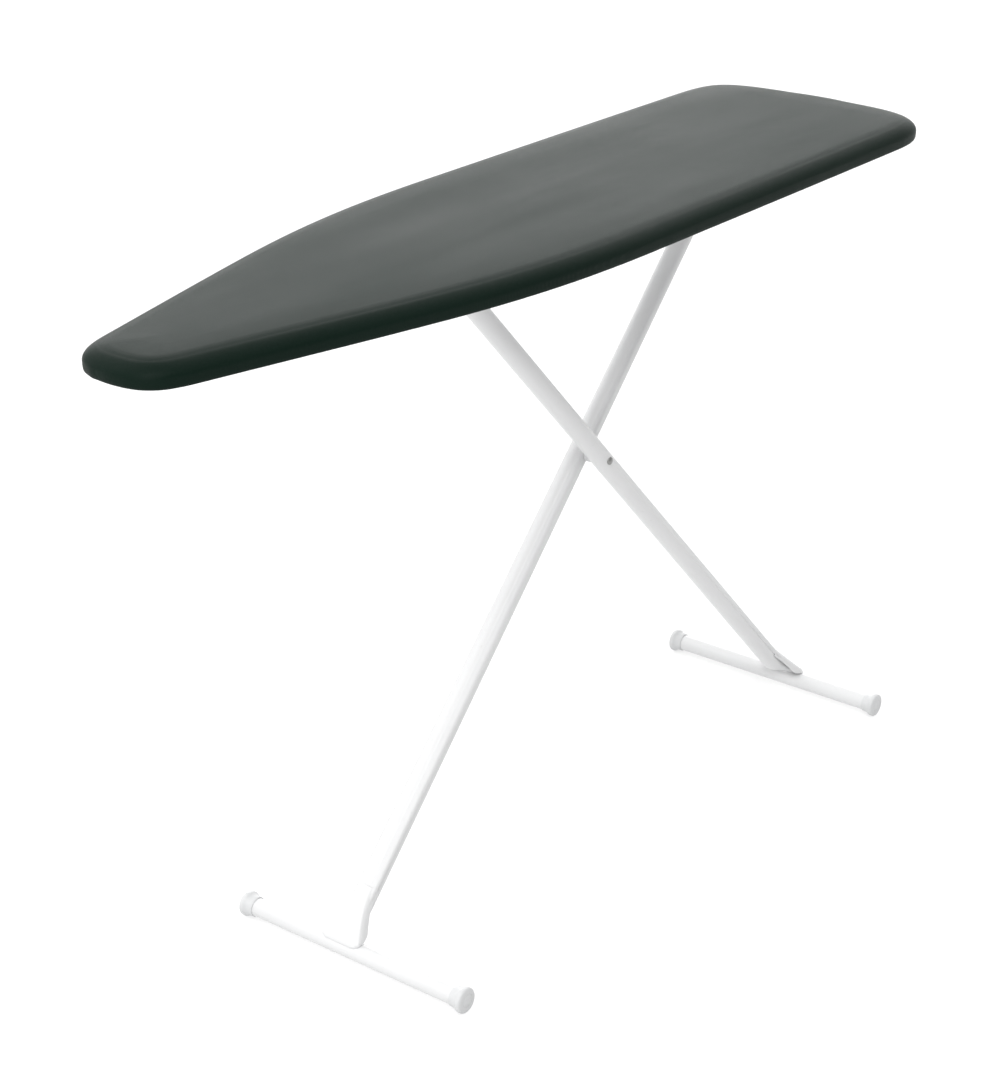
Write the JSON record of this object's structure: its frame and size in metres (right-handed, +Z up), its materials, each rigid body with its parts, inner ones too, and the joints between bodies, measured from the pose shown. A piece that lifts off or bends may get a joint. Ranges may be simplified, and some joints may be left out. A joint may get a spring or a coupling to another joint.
{
  "type": "ironing board",
  "caption": "Free-standing folding ironing board: padded fabric-covered top with a tapered nose on two crossed T-foot tube legs, with a height lever under the top.",
  "frame": {"origin": "on the floor under the middle of the board's bounding box", "axes": "+X from the tapered nose to the square tail, +Y across the board, +Z up"},
  "size_m": [1.372, 0.362, 0.889],
  "materials": {
    "cover_fabric": "matt dark green-grey woven cotton with a soft sheen",
    "pad_felt": "off-white needled felt",
    "white_paint": "satin white powder coat",
    "zinc_steel": "bright zinc plate",
    "white_plastic": "moulded, fine satin",
    "grip_plastic": "moulded, satin"
  },
  "bodies": {
    "board": {"brace_front": "white_paint", "brace_middle": "white_paint", "brace_rear": "white_paint", "cover": "cover_fabric", "edge_rim": "white_paint", "hinge_bracket": "white_paint", "hinge_pin": "zinc_steel", "hinge_pin_clip": "zinc_steel", "hinge_rivet_1": "zinc_steel", "hinge_rivet_2": "zinc_steel", "hinge_rivet_3": "zinc_steel", "hinge_rivet_4": "zinc_steel", "lever_bracket": "white_paint", "lever_pin": "zinc_steel", "lever_spring": "zinc_steel", "pad": "pad_felt", "slide_track": "white_paint", "top_panel": "white_paint", "track_rivet_1": "zinc_steel", "track_rivet_2": "zinc_steel", "track_rivet_3": "zinc_steel", "track_rivet_4": "zinc_steel"},
    "lever": {"height_lever": "white_paint", "lever_grip": "grip_plastic"},
    "front_leg": {"front_cap_left": "white_plastic", "front_cap_right": "white_plastic", "front_foot_tube": "white_paint", "front_gusset": "white_paint", "front_leg_tube": "white_paint", "pivot_bolt": "zinc_steel", "pivot_nut": "zinc_steel", "pivot_spacer": "white_plastic"},
    "rear_leg": {"rear_cap_left": "white_plastic", "rear_cap_right": "white_plastic", "rear_foot_tube": "white_paint", "rear_gusset": "white_paint", "rear_leg_tube": "white_paint", "slide_clip_far": "zinc_steel", "slide_clip_near": "zinc_steel", "slide_pin": "zinc_steel", "slide_roller_far": "white_plastic", "slide_roller_near": "white_plastic"}
  },
  "joints": [
    {"name": "leg_fold", "type": "hinge", "parent": "board", "child": "front_leg", "pos_m": [0.45788, 0.017, 0.856], "axis": [0, 1, 0], "range_deg": [0, 45]},
    {"name": "scissor", "type": "hinge", "parent": "front_leg", "child": "rear_leg", "pos_m": [0.1387, 0, 0.5208], "axis": [0, 1, 0], "range_deg": [-90, 0]},
    {"name": "lever_squeeze", "type": "hinge", "parent": "board", "child": "lever", "pos_m": [-0.14, -0.06, 0.8655], "axis": [-1, 0, 0], "range_deg": [0, 10], "stiffness_Nm_per_rad": 0.8, "springref_deg": -8.59}
  ],
  "couplings": [
    {"joint": "scissor", "follows": "leg_fold", "ratio": -2}
  ]
}
